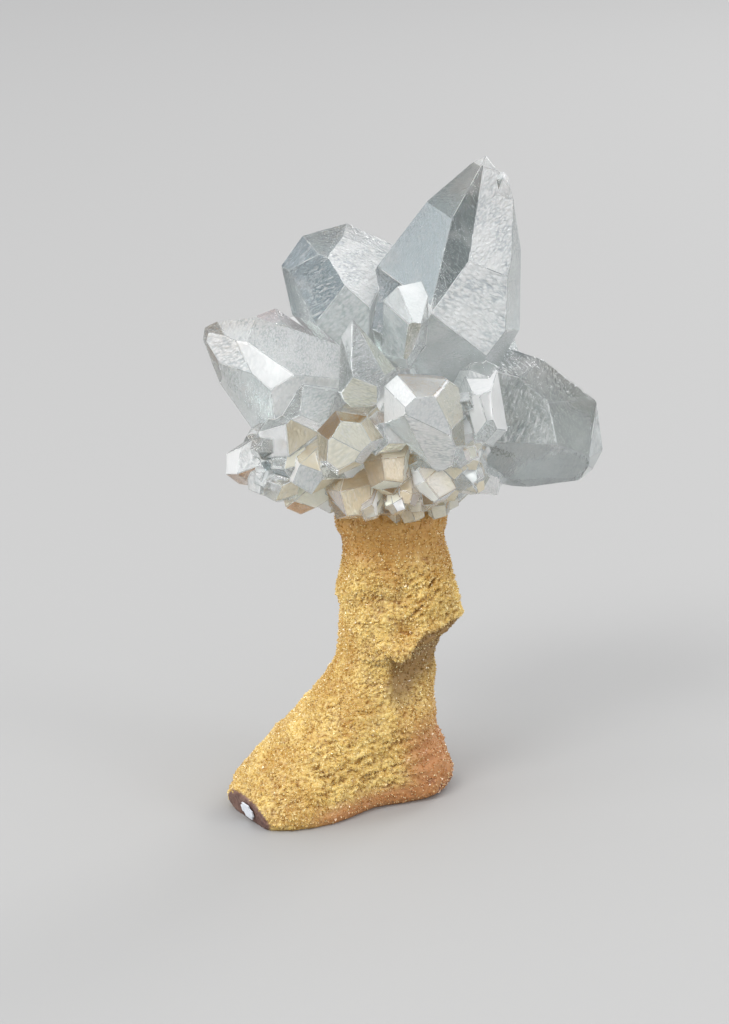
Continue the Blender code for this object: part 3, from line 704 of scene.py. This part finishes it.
def ripple_facets(mesh):
    """Divides the facets finely, and raises the ripples of their growth, which run out before each edge."""
    shape = bmesh.new()
    shape.from_mesh(mesh)
    bmesh.ops.triangulate(shape, faces=shape.faces)
    longest = RIPPLE_MESH * MM
    for _ in range(6):
        long_edges = [edge for edge in shape.edges if edge.calc_length() > longest]
        if not long_edges:
            break
        bmesh.ops.subdivide_edges(shape, edges=long_edges, cuts=1)
        bmesh.ops.triangulate(shape, faces=[face for face in shape.faces if len(face.verts) > 3])
        drop_slivers(shape)
    loose = [vertex for vertex in shape.verts if not vertex.link_faces]
    bmesh.ops.delete(shape, geom=loose, context="VERTS")
    ripple = shape.faces.layers.float["ripple"]
    layer = shape.loops.layers.uv["facets"]
    shape.normal_update()
    for vertex in shape.verts:
        first = vertex.link_faces[0]
        inside = all(
            face.material_index == first.material_index and face.normal.dot(first.normal) > 0.9999
            for face in vertex.link_faces
        )
        if first.material_index == EDGE_SLOT or not inside:
            continue
        place = first.loops[0][layer].uv
        for loop in first.loops:
            if loop.vert is vertex:
                place = loop[layer].uv
        swell = noise.noise(Vector((place.x * 3.1, place.y * 1.5, 0.0)))
        fine = noise.noise(Vector((place.x * 7.5, place.y * 4.0, 5.0)))
        lift = RIPPLE_RELIEF * first[ripple] * (swell + 0.7 * fine)
        vertex.co += first.normal * lift * MM
    shape.to_mesh(mesh)
    shape.free()
    mesh.shade_smooth()
    mesh.set_sharp_from_angle(angle=math.radians(24))


def crystal_mesh():
    shape = merged_shape("crystal_cluster")
    open_socket(shape)
    bmesh.ops.dissolve_limit(shape, angle_limit=math.radians(0.6), verts=shape.verts, edges=shape.edges)
    bmesh.ops.remove_doubles(shape, verts=shape.verts, dist=0.05 * MM)
    close_holes(shape)
    lay_facet_map(shape)
    finish_facets(shape)
    source = bpy.data.objects.new("cluster_source", plain_mesh(shape, "source"))
    bpy.context.scene.collection.objects.link(source)
    for _ in range(EDGE_SLOT + 1):
        source.data.materials.append(None)
    bevel = source.modifiers.new("worn_edges", "BEVEL")
    bevel.width = EDGE_WIDTH * MM
    bevel.segments = 1
    bevel.limit_method = "ANGLE"
    bevel.angle_limit = math.radians(12)
    bevel.use_clamp_overlap = False
    bevel.material = EDGE_SLOT
    mesh = evaluated_mesh(source, "clear_crystals")
    bpy.data.objects.remove(source)
    ripple_facets(mesh)
    return mesh


def facet_texture():
    """A shader group: a facet's growth marks, as a height in millimetres, and as a painted shade and a painted gleam
    from 0 to 1, for the light and shade that their ripples would catch.
    """
    made = bpy.data.node_groups.new("facet_texture", "ShaderNodeTree")
    tree_input(made, "Map", "NodeSocketVector")
    tree_input(made, "Ripples", "NodeSocketFloat", 1.0)
    made.interface.new_socket(name="Height", in_out="OUTPUT", socket_type="NodeSocketFloat")
    made.interface.new_socket(name="Shade", in_out="OUTPUT", socket_type="NodeSocketFloat")
    made.interface.new_socket(name="Gleam", in_out="OUTPUT", socket_type="NodeSocketFloat")
    given = made.nodes.new("NodeGroupInput").outputs
    bent = add_node(
        made, "ShaderNodeMapping", Vector=given["Map"], Scale=(1.0, 2.2, 1.0), Rotation=(0.0, 0.0, 0.5),
    ).outputs["Vector"]
    swell = noise_value(made, bent, 4.2, 2.0, 0.55, 0.9, "2D")
    counted = maths(made, "MULTIPLY", swell, 14.0)
    step = remap(made, maths(made, "FRACT", counted), 0.6, 1.0)
    terrace = maths(made, "MULTIPLY", maths(made, "ADD", maths(made, "FLOOR", counted), step), 0.03)
    drawn = add_node(
        made, "ShaderNodeMapping", Vector=given["Map"], Scale=(3.0, 12.0, 1.0), Rotation=(0.0, 0.0, 0.35),
    ).outputs["Vector"]
    streaks = noise_value(made, drawn, 1.3, 3.0, 0.65, 0.6, "2D")
    scales = add_node(
        made, "ShaderNodeMapping", Vector=given["Map"], Scale=(1.0, 1.7, 1.0), Rotation=(0.0, 0.0, 0.6),
    ).outputs["Vector"]
    cells = add_node(
        made, "ShaderNodeTexVoronoi", {"feature": "SMOOTH_F1", "voronoi_dimensions": "2D"},
        Vector=scales, Scale=8.5, Smoothness=0.5, Randomness=1.0,
    ).outputs["Distance"]
    cell_shade = remap(made, cells, 0.12, 0.7)
    height = maths(made, "ADD", terrace, maths(made, "MULTIPLY", cells, -0.16))
    height = maths(made, "ADD", height, maths(made, "MULTIPLY", streaks, 0.12))
    plug(made, made.nodes.new("NodeGroupOutput").inputs["Height"], maths(made, "MULTIPLY", height, given["Ripples"]))
    # Painted shade: dark streaks and the rims of the cells
    deepest = maths(made, "ADD", 0.38, maths(made, "MULTIPLY", given["Ripples"], 0.09))
    dark_streak = remap(made, streaks, 0.34, deepest, 0.9, 0.0)
    shade = maths(made, "MAXIMUM", dark_streak, maths(made, "MULTIPLY", cell_shade, 0.85))
    patches = remap(made, noise_value(made, given["Map"], 1.6, 2.0, 0.5, 0.5, "2D"), 0.36, 0.6, 0.3, 1.0)
    strength = maths(made, "MULTIPLY", maths(made, "MINIMUM", given["Ripples"], 1.0), patches)
    out = [node for node in made.nodes if node.bl_idname == "NodeGroupOutput"][0]
    plug(made, out.inputs["Shade"], maths(made, "MULTIPLY", shade, strength))
    # Painted gleam: bright brushed streaks
    brushed = add_node(
        made, "ShaderNodeMapping", Vector=given["Map"], Scale=(2.0, 11.0, 1.0), Rotation=(0.0, 0.0, 0.75),
    ).outputs["Vector"]
    gleam = remap(made, noise_value(made, brushed, 1.6, 3.0, 0.65, 0.8, "2D"), 0.48, 0.68)
    plug(made, out.inputs["Gleam"], maths(made, "MULTIPLY", gleam, strength))
    return made


def crystal_material(name, texture, transmission, least_rough, most_rough):
    """Calcite: a tinted, rippled surface over clear stone, with the ripples' light and shade painted into its colour.
    A cloudy facet lets less through.
    """
    material, tree, shader = new_material(name)
    place = tree.nodes.new("ShaderNodeTexCoord").outputs["Object"]
    facets = add_node(tree, "ShaderNodeUVMap", {"uv_map": "facets"}).outputs["UV"]
    ripple = add_node(tree, "ShaderNodeAttribute", {"attribute_name": "ripple"}).outputs["Fac"]
    tint = add_node(tree, "ShaderNodeAttribute", {"attribute_name": "tint"}).outputs["Color"]
    marks = add_node(tree, "ShaderNodeGroup", {"node_tree": texture}, Map=facets, Ripples=ripple).outputs
    bump = add_node(tree, "ShaderNodeBump", Height=marks["Height"], Strength=1.0, Distance=MM)
    plug(tree, shader.inputs["Normal"], bump.outputs["Normal"])
    # Painted shade of the growth marks: the tint darkened where their shade is high
    shaded = mix_colours(tree, 1.0, tint, (0.52, 0.57, 0.60), "MULTIPLY")
    mark_shaded = mix_colours(tree, marks["Shade"], tint, shaded)
    cloud = noise_value(tree, place, 75.0, 3.0, 0.6)
    # Real cloudiness, and the painted gleam of the growth marks, whiten the colour
    milk_and_gleam = maths(tree, "MAXIMUM", marks["Gleam"], remap(tree, cloud, 0.5, 0.7, 0.0, 0.6))
    plug(tree, shader.inputs["Base Color"], mix_colours(tree, milk_and_gleam, mark_shaded, (1.0, 1.0, 1.0)))
    plug(tree, shader.inputs["Roughness"], remap(tree, cloud, 0.45, 0.7, least_rough, most_rough))
    shader.inputs["IOR"].default_value = 1.6
    shader.inputs["Transmission Weight"].default_value = transmission
    absorb = add_node(tree, "ShaderNodeVolumeAbsorption", Color=(0.93, 0.96, 0.95, 1.0), Density=3.0)
    tree.links.new(absorb.outputs["Volume"], tree.nodes["Material Output"].inputs["Volume"])
    return material


def edge_material():
    """The rounded edges between facets: a thin frosted line, whitened in patches as a painted highlight where it
    catches the light.
    """
    material, tree, shader = new_material("edge_highlight")
    place = tree.nodes.new("ShaderNodeTexCoord").outputs["Object"]
    frost_and_glint = noise_value(tree, place, 110.0, 4.0, 0.6)
    shade = remap(tree, frost_and_glint, 0.46, 0.66)
    # Painted highlight: the edge turns white in patches
    plug(tree, shader.inputs["Base Color"], mix_colours(tree, shade, (0.62, 0.66, 0.66), (1.0, 1.0, 1.0)))
    plug(tree, shader.inputs["Roughness"], remap(tree, frost_and_glint, 0.42, 0.58, 0.05, 0.35))
    shader.inputs["IOR"].default_value = 1.6
    shader.inputs["Transmission Weight"].default_value = 0.72
    return material


def build_crystals():
    mesh = crystal_mesh()
    texture = facet_texture()
    clear = crystal_material("clear_calcite", texture, 0.93, 0.0, 0.04)
    hazy = crystal_material("hazy_calcite", texture, 0.68, 0.01, 0.15)
    cloudy = crystal_material("cloudy_calcite", texture, 0.44, 0.06, 0.2)
    piece = new_piece("clear_crystals", mesh, "clear_calcite", clear, hazy, cloudy, edge_material())
    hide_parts("crystal_cluster")


# The label, the studio and the camera

def dress_label():
    material, tree, shader = new_material("blank_paper")
    place = tree.nodes.new("ShaderNodeTexCoord").outputs["Object"]
    fibres = noise_value(tree, place, 1800.0, 4.0, 0.7)
    soil = noise_value(tree, place, 380.0, 3.0, 0.6)
    paper = mix_colours(tree, remap(tree, fibres, 0.3, 0.7), (0.66, 0.70, 0.76), (0.80, 0.83, 0.88))
    soiled = mix_colours(tree, remap(tree, soil, 0.5, 0.8, 0.0, 0.6), paper, (0.34, 0.26, 0.2))
    plug(tree, shader.inputs["Base Color"], soiled)
    plug(tree, shader.inputs["Roughness"], remap(tree, fibres, 0.3, 0.7, 0.55, 0.8))
    bump = add_node(tree, "ShaderNodeBump", Height=fibres, Strength=0.4, Distance=0.05 * MM)
    plug(tree, shader.inputs["Normal"], bump.outputs["Normal"])
    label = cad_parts["paper_label"]
    for slot in label.material_slots:
        slot.material = material


def build_floor():
    mesh = bpy.data.meshes.new("floor")
    corners = [(x * FLOOR_REACH, y * FLOOR_REACH, 0.0) for x, y in ((-1, -1), (1, -1), (1, 1), (-1, 1))]
    mesh.from_pydata(corners, [], [(0, 1, 2, 3)])
    floor = bpy.data.objects.new("floor", mesh)
    bpy.context.scene.collection.objects.link(floor)
    material, tree, shader = new_material("pale_floor")
    shader.inputs["Base Color"].default_value = (0.4, 0.4, 0.395, 1.0)
    shader.inputs["Roughness"].default_value = 0.7
    mesh.materials.append(material)


def soft_panel(name, place, size, brightness, aim=(0.0, 0.0, 0.1)):
    """A large square softbox that faces the specimen. Its brightness is that of the panel itself."""
    lamp = bpy.data.lights.new(name, "AREA")
    lamp.shape = "SQUARE"
    lamp.size = size
    lamp.energy = brightness * math.pi * size * size
    made = bpy.data.objects.new(name, lamp)
    made.location = place
    made.rotation_euler = (Vector(aim) - Vector(place)).to_track_quat("-Z", "Y").to_euler()
    bpy.context.scene.collection.objects.link(made)


def build_light():
    world = bpy.data.worlds.new("studio")
    bpy.context.scene.world = world
    world.use_nodes = True
    tree = world.node_tree
    direction = tree.nodes.new("ShaderNodeTexCoord").outputs["Generated"]
    up = add_node(tree, "ShaderNodeSeparateXYZ", Vector=direction).outputs["Z"]
    sky = mix_colours(tree, remap(tree, up, -0.05, 0.6), (0.38, 0.38, 0.38), (1.1, 1.1, 1.12))
    plug(tree, tree.nodes["Background"].inputs["Color"], sky)
    tree.nodes["Background"].inputs["Strength"].default_value = 1.0
    soft_panel("key", (-0.9, -1.2, 1.6), 0.7, 11.5)
    soft_panel("left", (-1.9, -0.5, 0.6), 0.9, 4.5)
    soft_panel("right", (1.7, -1.0, 0.7), 0.7, 6.0)
    soft_panel("rim", (1.1, 1.6, 1.1), 0.8, 6.0)


def build_camera():
    lens = bpy.data.cameras.new("camera")
    lens.lens = CAMERA_LENS
    lens.sensor_fit = "VERTICAL"
    lens.sensor_height = SENSOR_HEIGHT
    lens.clip_end = 20.0
    camera = bpy.data.objects.new("camera", lens)
    elevation = math.radians(CAMERA_ELEVATION)
    back = Vector((0.0, -math.cos(elevation), math.sin(elevation)))
    camera.location = (Vector(CAMERA_TARGET) + back * CAMERA_DISTANCE) * MM
    camera.rotation_euler = (math.pi / 2 - elevation, 0.0, 0.0)
    bpy.context.scene.collection.objects.link(camera)
    bpy.context.scene.camera = camera
    bpy.context.scene.view_settings.view_transform = "Standard"


build_stalactite()
build_crystals()
dress_label()
build_floor()
build_light()
build_camera()
